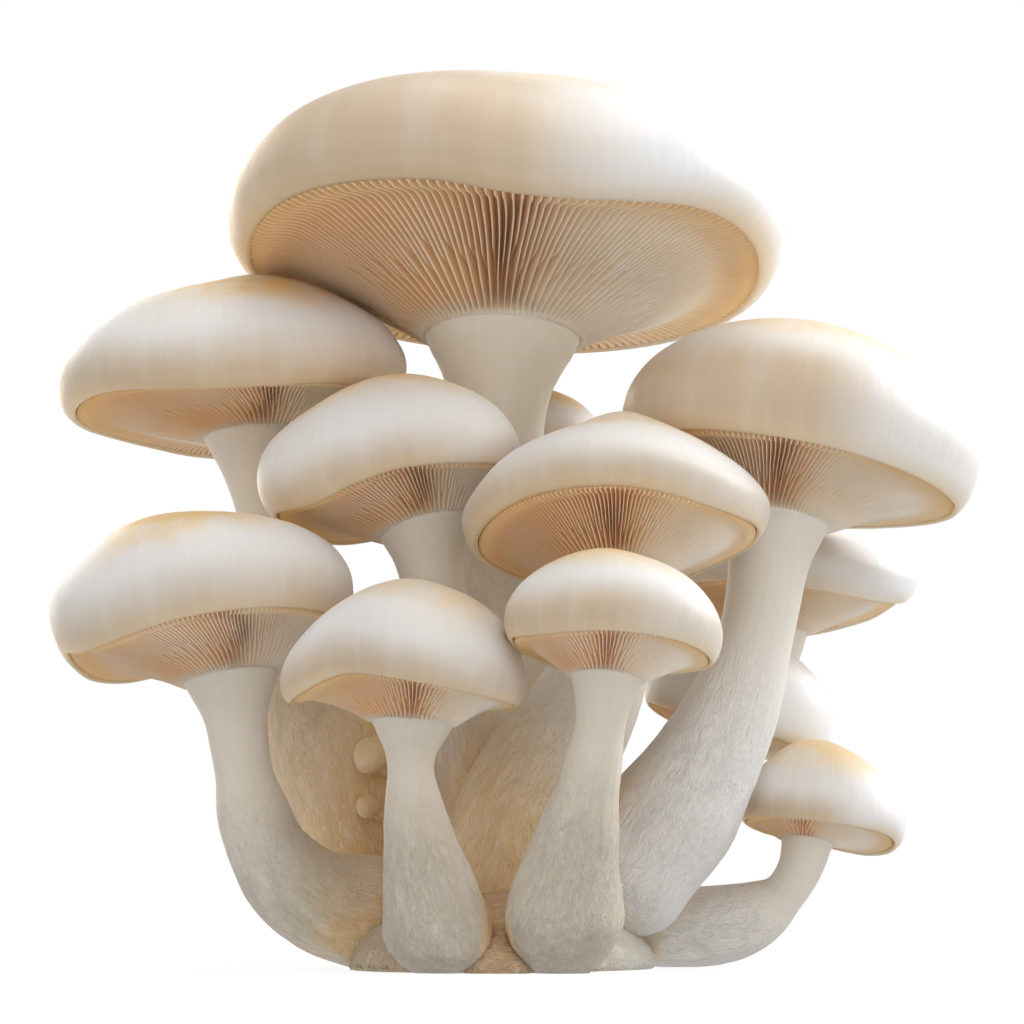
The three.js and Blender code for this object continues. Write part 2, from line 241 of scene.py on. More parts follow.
class ClusterColours(bpy.types.PropertyGroup):
    """Colours of the flesh."""

    skin: colour_setting("Skin", "Cap skin", (0.775, 0.76, 0.735))
    # Painted light: skin on the lit right side of the caps.
    lit_side_skin: colour_setting("Bleached skin", "Cap skin on the bright side", (0.85, 0.86, 0.87))
    stain: colour_setting("Stain", "Ochre mottling round the crown", (0.80, 0.54, 0.20))
    streak: colour_setting("Streak", "Faint streaks down the cap", (0.86, 0.87, 0.88))
    # Painted shade: this colour darkens the band over the lip where the cap turns from the light; it also
    # tints the fine streaks.
    lip: colour_setting("Lip", "Skin towards the lip", (0.57, 0.41, 0.245))
    # Partly the inner lip's own golden tone, partly a painted glow of light through the thin rim.
    inner_lip_tone_and_glow: colour_setting("Inner lip", "Inside of the rolled lip", (0.90, 0.69, 0.42))
    gill_edge: colour_setting("Gill edge", "Free edges of the gills", (1.0, 0.91, 0.78))
    gill_face: colour_setting("Gill face", "Faces of the gills", (0.96, 0.69, 0.45))
    # Painted shade deep in the gaps between the gills.
    gill_gap_shade: colour_setting("Gill gap", "Bottom of the gaps between gills", (0.84, 0.50, 0.28))
    # Painted light on the gills of the lit right side.
    gill_lit_side: colour_setting("Bright gills", "Gills on the bright side", (1.0, 0.92, 0.80))
    # Painted shade on the gills of the left side.
    gill_shaded_side: colour_setting("Deep gills", "Gills on the shaded side", (0.84, 0.46, 0.18))
    gill_glow: colour_setting("Gill glow", "Outer ends that light comes through", (0.98, 0.66, 0.32))
    gill_cloud: colour_setting("Gill clouds", "Darker clouds over the gills", (0.74, 0.47, 0.26))
    stem: colour_setting("Stem", "Stem flesh", (0.79, 0.72, 0.61))
    # Painted shade on the darker front and left stems.
    shaded_stem: colour_setting("Dusky stem", "Flesh of the darker stems", (0.60, 0.53, 0.43))
    # Painted light on the whiter stems lit from the right.
    lit_stem: colour_setting("Pale stem", "Flesh of the whiter stems", (0.93, 0.92, 0.90))
    satin: colour_setting("Satin", "Long faint streaks on the stems", (0.90, 0.88, 0.85))
    # Partly the tan down round the foot, partly painted shade where neighbours crowd a stem.
    crease_shade_and_down: colour_setting("Crease", "Down in the creases and round the foot", (0.98, 0.67, 0.33))
    # Painted shade between the stems' fibres.
    fibre_gap_shade: colour_setting("Fibre gap", "Between the stems' fibres", (0.56, 0.40, 0.24))
    # Painted highlight on the tops of the stems' fibres.
    fibre_tip_highlight: colour_setting("Fibre tip", "Tops of the stems' fibres", (0.97, 0.88, 0.72))
    base_left: colour_setting("Base, left", "Left end of the fused base", (0.68, 0.53, 0.37))
    base_middle: colour_setting("Base, middle", "Middle of the fused base", (0.66, 0.44, 0.25))
    base_right: colour_setting("Base, right", "Right end of the fused base", (0.90, 0.85, 0.76))
    # Painted shade between the down of the base.
    down_gap_shade: colour_setting("Down gap", "Between the down of the base", (0.52, 0.36, 0.20))
    # Painted highlight on the tips of the base's down.
    down_tip_highlight: colour_setting("Down tip", "Tips of the base's down", (0.95, 0.86, 0.70))
    bud_deep: colour_setting("Bud, deep", "Darker flesh of the buds", (0.80, 0.58, 0.33))
    bud_pale: colour_setting("Bud, pale", "Paler flesh of the buds", (0.84, 0.68, 0.47))


class ClusterStudio(bpy.types.PropertyGroup):
    """Studio settings."""

    distance: FloatProperty(
        name="Camera distance", description="From the camera to the cluster", default=0.8, unit="LENGTH"
    )
    eye_height: FloatProperty(
        name="Camera height", description="Height of the camera over the floor", default=0.015, unit="LENGTH"
    )
    lens: FloatProperty(name="Lens", description="Focal length, in mm", default=140.6)
    facets: IntProperty(name="Floor facets", description="Facets round the floor disc", default=96)
    floor_radius: FloatProperty(
        name="Floor radius", description="Radius of the floor disc", default=6.0, unit="LENGTH"
    )
    sensor: FloatProperty(name="Sensor", description="Width of the camera's sensor, in mm", default=36.0)
    surround: FloatProperty(name="Surround", description="Strength of the surround's light", default=0.55)


# ---------------------------------------------------------------- tools for shapes


def smooth(a, b, x):
    """0 below a, 1 above b, and an S-curve between them."""
    t = np.clip((x - a) / (b - a), 0.0, 1.0)
    return t * t * (3 - 2 * t)


def speckle(points):
    """Seeded value noise from -1 to 1 at points, one cell per unit."""
    cell = np.floor(points).astype(np.int64)
    part = points - cell
    part = part * part * (3 - 2 * part)
    total = np.zeros(len(points))
    for corner in itertools.product((0, 1), repeat=3):
        q = cell + corner
        h = (q[:, 0] * 374761393 + q[:, 1] * 668265263 + q[:, 2] * 1442695041) & 0xFFFFFFFF
        h = ((h ^ (h >> 13)) * 1274126177) & 0xFFFFFFFF
        h = (h ^ (h >> 16)) & 0xFFFFFFFF
        weight = np.prod(np.where(corner, part, 1 - part), axis=1)
        total += weight * (h / 2147483648.0 - 1)
    return total


def through(a, b, c, d, t):
    """The point at share t between b and c on a smooth curve through a, b, c and d."""
    return b + 0.5 * t * (c - a + t * (2 * a - 5 * b + 4 * c - d + t * (3 * (b - c) + d - a)))


class Cage:
    """The rings of a turned CAD solid, from its lower pole to its upper one, as a smooth surface."""

    def __init__(self, node, corners=()):
        shell = bmesh.new()
        shell.from_mesh(NODES[node].data)
        bmesh.ops.remove_doubles(shell, verts=shell.verts, dist=SAME_CORNER)
        poles = sorted(shell.verts, key=lambda v: -len(v.link_edges))[:2]
        poles.sort(key=lambda v: v.co.z)
        level = {poles[0]: 0}
        rings = [[poles[0]]]
        while True:
            nearby = {e.other_vert(v) for v in rings[-1] for e in v.link_edges}
            fresh = [v for v in nearby if v not in level]
            if not fresh:
                break
            for v in fresh:
                level[v] = len(rings)
            rings.append(fresh)
        size = len(rings[1])
        stack = []
        for ring in rings[1:-1]:
            stack.append(self.in_order(ring, level))
        middle = np.array([loop.mean(0) for loop in stack])
        lined = []
        for k, loop in enumerate(stack):
            out = loop - loop.mean(0)
            turn = np.cross(out, np.roll(out, -1, 0)).sum(0)
            way = middle[min(k + 1, len(middle) - 1)] - middle[max(k - 1, 0)]
            if node.endswith("_cap") or node.endswith("_gills"):
                way = np.array([0.0, 0.0, 1.0])
            if turn @ way < 0:
                loop = loop[::-1]
            if lined:
                shifts = [((np.roll(loop, r, 0) - lined[-1]) ** 2).sum() for r in range(size)]
                loop = np.roll(loop, int(np.argmin(shifts)), 0)
            else:
                loop = np.roll(loop, -int(np.argmax(loop[:, 0])), 0)
            lined.append(loop)
        first, last = np.array(poles[0].co), np.array(poles[1].co)
        self.grid = np.array([np.tile(first, (size, 1)), *lined, np.tile(last, (size, 1))])
        self.size, self.last = size, len(self.grid) - 1
        self.corners = corners
        self.middles = self.grid.mean(1)
        self.radii = np.linalg.norm(self.grid - self.middles[:, None], axis=2).mean(1)
        steps = np.linalg.norm(np.diff(self.grid, axis=0), axis=2).mean(1)
        self.length = np.concatenate([[0], np.cumsum(steps)])
        shell.free()

    def relax(self, first, passes):
        """Evens out the kinks between rings from ring first up to the last but one, and keeps their radii."""
        for _ in range(passes):
            grid = self.grid.copy()
            for k in range(first, self.last - 1):
                ring = (self.grid[k - 1] + 2 * self.grid[k] + self.grid[k + 1]) / 4
                middle = ring.mean(0)
                size = np.linalg.norm(ring - middle, axis=1).mean()
                grid[k] = middle + (ring - middle) * (self.radii[k] / size)
            self.grid = grid
        self.middles = self.grid.mean(1)

    @staticmethod
    def in_order(ring, level):
        """The ring's corners in the order in which they follow one another."""
        here, seen, order = ring[0], set(), []
        while here is not None:
            seen.add(here)
            order.append(here)
            side = [e.other_vert(here) for e in here.link_edges]
            side = [v for v in side if level[v] == level[here] and v not in seen]
            here = side[0] if side else None
        return np.array([v.co[:] for v in order])

    def at(self, u, k, grid=None):
        """Points at turns u, 0 to 1 once round, and ring numbers k, or other values that grid has there."""
        grid = self.grid if grid is None else grid
        j = np.mod(u, 1.0) * self.size
        column, across = np.floor(j).astype(int), j - np.floor(j)
        k = np.clip(k, 0, self.last)
        row = np.minimum(np.floor(k).astype(int), self.last - 1)
        along = k - row
        if grid.ndim == 3:
            across, along = across[:, None], along[:, None]

        def ring(number):
            below, above = number < 0, number > self.last
            safe = np.where(below, -number, np.where(above, 2 * self.last - number, number))
            start = column + np.where(below | above, self.size // 2, 0)
            a, b, c, d = [grid[safe, (start + s) % self.size] for s in (-1, 0, 1, 2)]
            return through(a, b, c, d, across)

        a, b, c, d = [ring(row + s) for s in (-1, 0, 1, 2)]
        starts, ends = np.isin(row, self.corners), np.isin(row + 1, self.corners)
        if grid.ndim == 3:
            starts, ends = starts[:, None], ends[:, None]
        a, d = np.where(starts, 2 * b - c, a), np.where(ends, 2 * c - b, d)
        return through(a, b, c, d, along)

    def normals(self):
        """Outward normals at the rings' corners."""
        round_ = np.roll(self.grid, -1, 1) - np.roll(self.grid, 1, 1)
        up = np.gradient(self.grid, axis=0)
        n = np.cross(round_, up)
        size = np.linalg.norm(n, axis=2, keepdims=True)
        n = n / np.maximum(size, 1e-12)
        n[0], n[-1] = n[1].mean(0), n[-2].mean(0)
        return n


def hemisphere(count):
    """Directions spread evenly over the upper half, denser round the pole."""
    i = np.arange(count) + 0.5
    z, turn = np.sqrt(1 - i / count), i * math.pi * (3 - math.sqrt(5))
    r = np.sqrt(1 - z * z)
    return np.stack([r * np.cos(turn), r * np.sin(turn), z], 1)


def crowding(cage, tree, reach=45 * MM, rays=20):
    """How much of the air round each corner of a cage is taken up by neighbours, from 0 to 1."""
    rows, sides = cage.grid.shape[:2]
    out = np.zeros((rows, sides))
    normals, spread = cage.normals(), hemisphere(rays)
    for k in range(rows):
        for j in range(sides):
            n = Vector(normals[k, j])
            turn = n.to_track_quat("Z", "Y")
            start = Vector(cage.grid[k, j]) + n * (1.2 * MM)
            total = 0.0
            for way in spread:
                hit = tree.ray_cast(start, turn @ Vector(way), reach)
                if hit[0] is not None:
                    total += 1 - hit[3] / reach
            out[k, j] = total / rays
            if k in (0, rows - 1):
                out[k, :] = out[k, j]
                break
    return out


def neighbours_tree():
    """All CAD solids as one tree for rays."""
    points, faces = [], []
    for node in NODES.values():
        start = len(points)
        points += [v.co.copy() for v in node.data.vertices]
        faces += [[start + i for i in p.vertices] for p in node.data.polygons]
    return BVHTree.FromPolygons(points, faces)


def nothing_selected():
    """Deselects everything, so that an operator acts only on the new piece."""
    bpy.ops.object.select_all(action="DESELECT")


def corners_of(mesh):
    """The places of a mesh's vertices."""
    co = np.empty(len(mesh.vertices) * 3)
    mesh.vertices.foreach_get("co", co)
    return co.reshape(-1, 3)


def move_corners(mesh, points):
    """Puts a mesh's vertices at points."""
    mesh.vertices.foreach_set("co", points.astype(np.float32).ravel())
    mesh.update()


def merge_corners(threshold):
    """Merges the active piece's vertices that are closer than threshold."""
    bpy.ops.object.mode_set(mode="EDIT")
    bpy.ops.mesh.select_all(action="SELECT")
    bpy.ops.mesh.remove_doubles(threshold=threshold)
    bpy.ops.object.mode_set(mode="OBJECT")


def remeshed_copy(node, name, voxel):
    """A copy of a CAD node as a free piece, in even faces as wide as voxel."""
    nothing_selected()
    cad = NODES[node]
    cad.select_set(True)
    bpy.context.view_layer.objects.active = cad
    bpy.ops.object.duplicate()
    piece = bpy.context.active_object
    piece.name = piece.data.name = name
    bpy.ops.object.parent_clear(type="CLEAR_KEEP_TRANSFORM")
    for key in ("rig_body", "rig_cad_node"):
        if key in piece:
            del piece[key]
    merge_corners(SAME_CORNER)
    remesh = piece.modifiers.new("grain", "REMESH")
    remesh.mode, remesh.voxel_size = "VOXEL", voxel
    bpy.ops.object.modifier_apply(modifier=remesh.name)
    return piece


def wrapped(name, columns, rows, place):
    """A grid that place wraps into a closed skin: it gets turns u, 0 to 1 once round, and heights v, 0 to 1
    from the lower pole to the upper one, and gives points and a dict of attributes."""
    nothing_selected()
    bpy.ops.mesh.primitive_grid_add(x_subdivisions=columns, y_subdivisions=rows, size=1)
    piece = bpy.context.active_object
    piece.name = piece.data.name = name
    mesh = piece.data
    co = corners_of(mesh)
    u = np.mod(np.round((co[:, 0] + 0.5) * columns), columns) / columns
    v = np.round((co[:, 1] + 0.5) * rows) / rows
    points, values = place(u, v)
    for pole in (0.0, 1.0):
        points[v == pole] = points[v == pole].mean(0)
    for label, value in values.items():
        attribute = mesh.attributes.new(label, "FLOAT_VECTOR", "POINT")
        attribute.data.foreach_set("vector", value.astype(np.float32).ravel())
    move_corners(mesh, points)
    merge_corners(SAME_SEAM)
    bpy.ops.object.shade_smooth()
    return piece


def finished(piece, node, finish):
    """Gives a piece its finish and its body, and hides its CAD node."""
    piece.data.materials.clear()
    piece.data.materials.append(finish)
    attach(piece, "root")
    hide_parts(node)


# ---------------------------------------------------------------- tools for finishes


# Places of the colour mixer's sockets, which share their names with those of its other kinds.
MIX_FACTOR, MIX_A, MIX_B, MIX_RESULT = 0, 6, 7, 2
WHITE = (1, 1, 1, 1)


class Shade:
    """A shader socket that can stand in a sum: each operator adds its Math node."""

    def __init__(self, finish, socket):
        self.finish, self.socket = finish, socket

    def maths(self, operation, *values):
        return self.finish.node("ShaderNodeMath", {"operation": operation}, values)

    def __add__(self, other):
        return self.maths("ADD", self, other)

    def __sub__(self, other):
        return self.maths("SUBTRACT", self, other)

    def __mul__(self, other):
        return self.maths("MULTIPLY", self, other)

    def __rsub__(self, other):
        return self.maths("SUBTRACT", other, self)

    def __abs__(self):
        return self.maths("ABSOLUTE", self)

    __radd__, __rmul__ = __add__, __mul__


class Finish:
    """The nodes of a material or a world under construction."""

    def __init__(self, owner):
        owner.use_nodes = True
        self.owner, self.tree = owner, owner.node_tree
        self.tree.nodes.clear()

    def node(self, kind, settings=None, inputs=(), output=0):
        """Adds a node, makes its settings, then sets or links its inputs, by place or by name."""
        node = self.tree.nodes.new(kind)
        for key, value in (settings or {}).items():
            setattr(node, key, value)
        pairs = inputs.items() if isinstance(inputs, dict) else enumerate(inputs)
        for key, value in pairs:
            socket = node.inputs[key]
            if isinstance(value, Shade):
                self.tree.links.new(value.socket, socket)
            elif value is not None:
                socket.default_value = value
        return Shade(self, node.outputs[output]) if node.outputs else None

    def attribute(self, name):
        return self.node("ShaderNodeAttribute", {"attribute_name": name}, (), "Vector")

    def parts(self, vector):
        first = self.node("ShaderNodeSeparateXYZ", None, [vector])
        return [Shade(self, socket) for socket in first.socket.node.outputs]

    def vector(self, x, y, z):
        return self.node("ShaderNodeCombineXYZ", None, [x, y, z])

    def place(self):
        return self.node("ShaderNodeTexCoord", None, (), "Object")

    def stretched(self, vector, scale):
        return self.node("ShaderNodeVectorMath", {"operation": "MULTIPLY"}, [vector, scale])

    def noise(self, vector, scale=1.0, detail=3.0, rough=0.5):
        values = {"Vector": vector, "Scale": scale, "Detail": detail, "Roughness": rough}
        return self.node("ShaderNodeTexNoise", None, values, "Fac")

    def ramp(self, value, low, high, to_low=0.0, to_high=1.0):
        settings = {"interpolation_type": "SMOOTHSTEP"}
        return self.node("ShaderNodeMapRange", settings, [value, low, high, to_low, to_high])

    def mix(self, factor, a, b):
        a, b = [c if isinstance(c, Shade) else (*c[:3], 1.0) for c in (a, b)]
        values = {MIX_FACTOR: factor, MIX_A: a, MIX_B: b}
        return self.node("ShaderNodeMix", {"data_type": "RGBA"}, values, MIX_RESULT)

    def bump(self, height, distance, strength):
        values = {"Strength": strength, "Distance": distance, "Height": height}
        return self.node("ShaderNodeBump", None, values)

    def bent(self, vector, scale, x, y, z):
        """The vector, moved along each axis by a noise times x, y and z."""
        sway = self.noise(vector, scale, 2.0, 0.5)
        shifts = [sway * share if share else 0.0 for share in (x, y, z)]
        return self.node("ShaderNodeVectorMath", {"operation": "ADD"}, [vector, self.vector(*shifts)])

    def close(self, shader, kind="ShaderNodeOutputMaterial"):
        """Links the shader to the output and gives the material or world."""
        self.node(kind, None, [shader])
        return self.owner

    def flesh(self, colour, roughness, normal, subsurface, radius, scale, coat=0.0):
        """The closing shader: constants go on its own sockets, and only what varies is linked."""
        values = {
            "Base Color": colour,
            "Roughness": roughness,
            "Normal": normal,
            "Subsurface Weight": subsurface,
            "Subsurface Radius": radius,
            "Subsurface Scale": scale,
            "Coat Weight": coat,
            "Coat Roughness": 0.35,
        }
        return self.close(self.node("ShaderNodeBsdfPrincipled", None, values))


def material(name):
    """A new material's nodes."""
    return Finish(bpy.data.materials.new(name))


def cap_skin(colours):
    """Satin cream skin: ochre mottling round the crown, faint streaks down to a beige band of painted shade
    over the lip, painted light whitening the right side, and a golden inner lip with a painted glow at the
    sides.
    """
    f = material("cap_skin")
    x, y, run = f.parts(f.attribute("skin"))
    start, strength, white = f.parts(f.attribute("shading_and_tone"))
    place = f.place()
    way = f.node("ShaderNodeVectorMath", {"operation": "NORMALIZE"}, [f.vector(x, y, 0.0)])
    wx, wy, _z = f.parts(way)
    clouds = f.noise(place, 38.0, 3.0, 0.55)
    patches = f.noise(place, 95.0, 4.0, 0.6)
    streaks = f.noise(f.vector(wx * 9.0, wy * 9.0, run * 1.6), 1.0, 3.0, 0.55)
    fine = f.noise(f.vector(wx * 38.0, wy * 38.0, run * 5.0), 1.0, 2.0, 0.5)
    dimples = f.noise(place, 420.0, 1.0, 0.4)
    ridges = f.noise(f.vector(wx * 44.0, wy * 44.0, run * 11.0), 1.0, 1.0, 0.4)
    ridges = ridges * f.ramp(wx, -0.97, -0.55, 1.0, 0.0) * f.ramp(run, 0.40, 0.65)
    # Painted light: the skin turns whiter towards the right, where the light falls.
    bright = white * f.ramp(wx, 0.08, 0.75)
    crown = f.ramp(run + (clouds - 0.5) * 0.6, 0.30, 0.66, 1.0, 0.0)
    mottle = crown * f.ramp(patches, 0.36, 0.58, 0.45, 1.0) * strength
    # Painted shade: a beige band over the lip, held off where painted light whitens the right side.
    band = f.ramp(run + (clouds - 0.5) * 0.16 - start, 0.0, 0.26) * (1.0 - bright)
    colour = f.mix(band * 0.85, colours.skin, colours.lip)
    colour = f.mix(bright * 0.8, colour, colours.lit_side_skin)
    colour = f.mix(mottle * 0.92, colour, colours.stain)
    colour = f.mix(f.ramp(streaks, 0.42, 0.72, 0.0, 0.12), colour, colours.streak)
    colour = f.mix(f.ramp(fine, 0.35, 0.65, 0.07, 0.0), colour, colours.lip)
    # Partly the inner lip's own golden tone, partly a painted glow of light through the thin rim, strongest
    # at the sides.
    rim_tone_and_glow = f.ramp(run, 0.90, 1.04) * f.ramp(abs(wx), 0.55, 0.92, 0.55, 0.95)
    colour = f.mix(rim_tone_and_glow, colour, colours.inner_lip_tone_and_glow)
    rough = 0.44 + f.ramp(patches, 0.3, 0.7, 0.0, 0.10)
    height = streaks * 0.5 + fine * 0.16 + dimples * 0.22 * f.ramp(run, 0.45, 0.85) + ridges * 0.55
    normal = f.bump(height, 0.35 * MM, 0.6)
    return f.flesh(colour, rough, normal, 0.26, (1.0, 0.84, 0.66), 3.5 * MM, coat=0.05)


def gill_flesh(colours):
    """Thin pale blades with painted shade down into the tan gaps between them, painted light on the right and
    painted shade on the left, glowing golden at the sides where light comes through.
    """
    f = material("gill_flesh")
    depth, out, luck = f.parts(f.attribute("blade"))
    side, away, _front = f.parts(f.attribute("side"))
    place = f.place()
    clouds = f.noise(place, 60.0, 2.0, 0.5)
    # Painted shade: the gills darken from their free edges down the faces into the gaps, by depth.
    colour = f.mix(f.ramp(depth, 0.015, 0.15), colours.gill_edge, colours.gill_face)
    colour = f.mix(f.ramp(depth, 0.25, 1.0) * f.ramp(luck, 0.0, 1.0, 0.45, 0.80), colour, colours.gill_gap_shade)
    # Painted light on the gills to the right and painted shade on those to the left.
    colour = f.mix(f.ramp(side, 0.0, 0.60, 0.0, 0.70), colour, colours.gill_lit_side)
    colour = f.mix(f.ramp(side, -0.90, -0.10, 0.60, 0.0), colour, colours.gill_shaded_side)
    glow = f.ramp(out, 0.70, 1.0) * f.ramp(away, 0.10, 0.90, 0.30, 1.0)
    colour = f.mix(glow * 0.85, colour, colours.gill_glow)
    colour = f.mix(f.ramp(out, 0.02, 0.14, 0.60, 0.0), colour, colours.stem)
    colour = f.mix(f.ramp(clouds, 0.40, 0.65, 0.0, 0.14), colour, colours.gill_cloud)
    normal = f.bump(f.noise(place, 900.0, 2.0, 0.5), 0.1 * MM, 0.3)
    return f.flesh(colour, 0.6, normal, 0.16, (1.0, 0.55, 0.28), 1.2 * MM)


def stem_flesh(colours):
    """Matt fibrous flesh: smooth and pale by the gills, combed fibres lower down with painted shade between
    them and painted highlights on their tips, and tan creases that are partly down and partly painted shade;
    painted shade darkens some stems and painted light whitens others.
    """
    f = material("stem_flesh")
    grain = f.attribute("grain")
    shading_and_tone, foot, crowd = f.parts(f.attribute("relief"))
    place = f.place()
    bent = f.bent(grain, 130.0, 3.5 * MM, -3.5 * MM, 0)
    strand = f.noise(f.stretched(bent, (2300.0, 2300.0, 320.0)), 1.0, 3.0, 0.62)
    hair = f.noise(f.stretched(bent, (3600.0, 3600.0, 560.0)), 1.0, 2.0, 0.6)
    satin = f.noise(f.stretched(grain, (650.0, 650.0, 40.0)), 1.0, 2.0, 0.5)
    clouds = f.noise(place, 60.0, 3.0, 0.55)
    # Painted shade where neighbours crowd the stem, mixed with the real tan down low on the middle stems.
    crease_shade_and_down = f.ramp(crowd + (clouds - 0.5) * 0.10, 0.20, 0.85)
    down = strand * 0.72 + hair * 0.28
    # Painted shade darkens some stems and painted light whitens others, more towards the foot.
    colour = f.mix(f.ramp(shading_and_tone, 0.0, 1.0), colours.stem, colours.shaded_stem)
    pale = f.ramp(shading_and_tone, -1.0, 0.0, 1.0, 0.0)
    colour = f.mix(pale, colour, colours.lit_stem)
    colour = f.mix(crease_shade_and_down * (0.95 - pale * 0.70), colour, colours.crease_shade_and_down)
    # Painted shade between the fibres and painted highlights on their tips, following the bumped relief.
    colour = f.mix(f.ramp(down, 0.37, 0.51, 0.20, 0.0) * foot, colour, colours.fibre_gap_shade)
    ridges = f.ramp(down, 0.51, 0.63) * foot * (0.26 + crease_shade_and_down * 0.50)
    colour = f.mix(ridges, colour, colours.fibre_tip_highlight)
    colour = f.mix(f.ramp(satin, 0.40, 0.70, 0.0, 0.14), colour, colours.satin)
    normal = f.bump(down * (0.05 + foot * 0.95) + satin * 0.08, 1.2 * MM, 1.0)
    return f.flesh(colour, 0.72, normal, 0.16, (1.0, 0.68, 0.42), 2.0 * MM)


def base_flesh(colours):
    """Downy flesh of the fused base: combed outwards, dark in the middle and pale towards the right, with
    painted shade between the down and painted highlights on its tips.
    """
    f = material("base_flesh")
    place = f.place()
    across = f.parts(place)[0]
    bent = f.bent(place, 150.0, 0, 4 * MM, 4 * MM)
    down = f.noise(f.stretched(bent, (520.0, 1900.0, 1900.0)), 1.0, 3.0, 0.62)
    colour = f.mix(f.ramp(across, -26 * MM, -12 * MM), colours.base_left, colours.base_middle)
    colour = f.mix(f.ramp(across, 12 * MM, 22 * MM), colour, colours.base_right)
    # Painted shade between the down and painted highlights on its tips, following the bumped relief.
    colour = f.mix(f.ramp(down, 0.37, 0.51, 0.25, 0.0), colour, colours.down_gap_shade)
    colour = f.mix(f.ramp(down, 0.51, 0.63, 0.0, 0.35), colour, colours.down_tip_highlight)
    normal = f.bump(down, 1.5 * MM, 1.0)
    return f.flesh(colour, 0.85, normal, 0.12, (1.0, 0.6, 0.35), 2.0 * MM)


def bud_flesh(colours):
    """Pale tan flesh of the buds, like the trunk's."""
    f = material("bud_flesh")
    place = f.place()
    clouds = f.noise(place, 260.0, 3.0, 0.5)
    colour = f.mix(f.ramp(clouds, 0.35, 0.65), colours.bud_deep, colours.bud_pale)
    normal = f.bump(f.noise(place, 900.0, 2.0, 0.5), 0.15 * MM, 0.5)
    return f.flesh(colour, 0.6, normal, 0.25, (1.0, 0.7, 0.45), 2.0 * MM)


# ---------------------------------------------------------------- pieces


class MUSHROOM_OT_caps(bpy.types.Operator):
    """Wrap the smooth flesh of every cap over its CAD rings."""

    bl_idname = "mushroom.caps"
    bl_label = "Caps"

    def execute(self, context):
        sizes = context.scene.cluster_sizes
        skin = cap_skin(context.scene.cluster_colours)
        for name in MUSHROOMS:
            cage = Cage(name + "_cap")
            run = (cage.length[-1] - cage.length) / (cage.length[-1] - cage.length[LIP_RING])
            hidden = cage.length[ROOF_RING] * 0.75
            columns, rows = (224, 120) if name == "top" else (160, 88)

            def place(u, v):
                shown = np.interp(v, [0.0, 0.06, 1.0], [0.0, hidden, cage.length[-1]])
                k = np.interp(shown, cage.length, np.arange(cage.last + 1))
                points = cage.at(u, k)
                t = np.interp(k, np.arange(cage.last + 1), run)
                turn = u * FULL_TURN
                swell = speckle(points / (11 * MM)) * smooth(1.0, 0.9, t) * sizes.cap_relief
                away = points - cage.middles[WIDEST_RING]
                away /= np.maximum(np.linalg.norm(away, axis=1, keepdims=True), 1e-9)
                points = points + away * swell[:, None]
                skin_run = np.stack([t * np.cos(turn), t * np.sin(turn), t], 1)
                return points, {"skin": skin_run, "shading_and_tone": np.tile(CAP_SHADING_AND_STAINS[name], (len(u), 1))}

            piece = wrapped(name + "_cap_skin", columns, rows, place)
            finished(piece, name + "_cap", skin)
        return {"FINISHED"}


# Columns of one gill: place in the space it has, and depth as a share of the gap's.
BLADE_PLACES = np.array([0.0, 0.07, 0.15, 0.25, 0.90])
BLADE_DEPTHS = np.array([0.04, 0.0, 0.04, 0.94, 0.94])
# The four gills of a fan: where along the layer each one starts to rise, from the neck at 0 to the lip at 1.
# A gill of full length starts before the neck.
FAN_STARTS = np.array([-1.0, 0.12, -1.0, 0.02])
# Rows of a gill piece, from 0 to 1: up to SOLE they close its lower pole, up to UNDERSIDE they run out along
# the gills, and the rest run back over the roof.
SOLE, UNDERSIDE = 0.05, 0.84
# How far the gills sink at the lip, as a share of how far they reach out over it.
GILL_DROP = 1 / 1.35


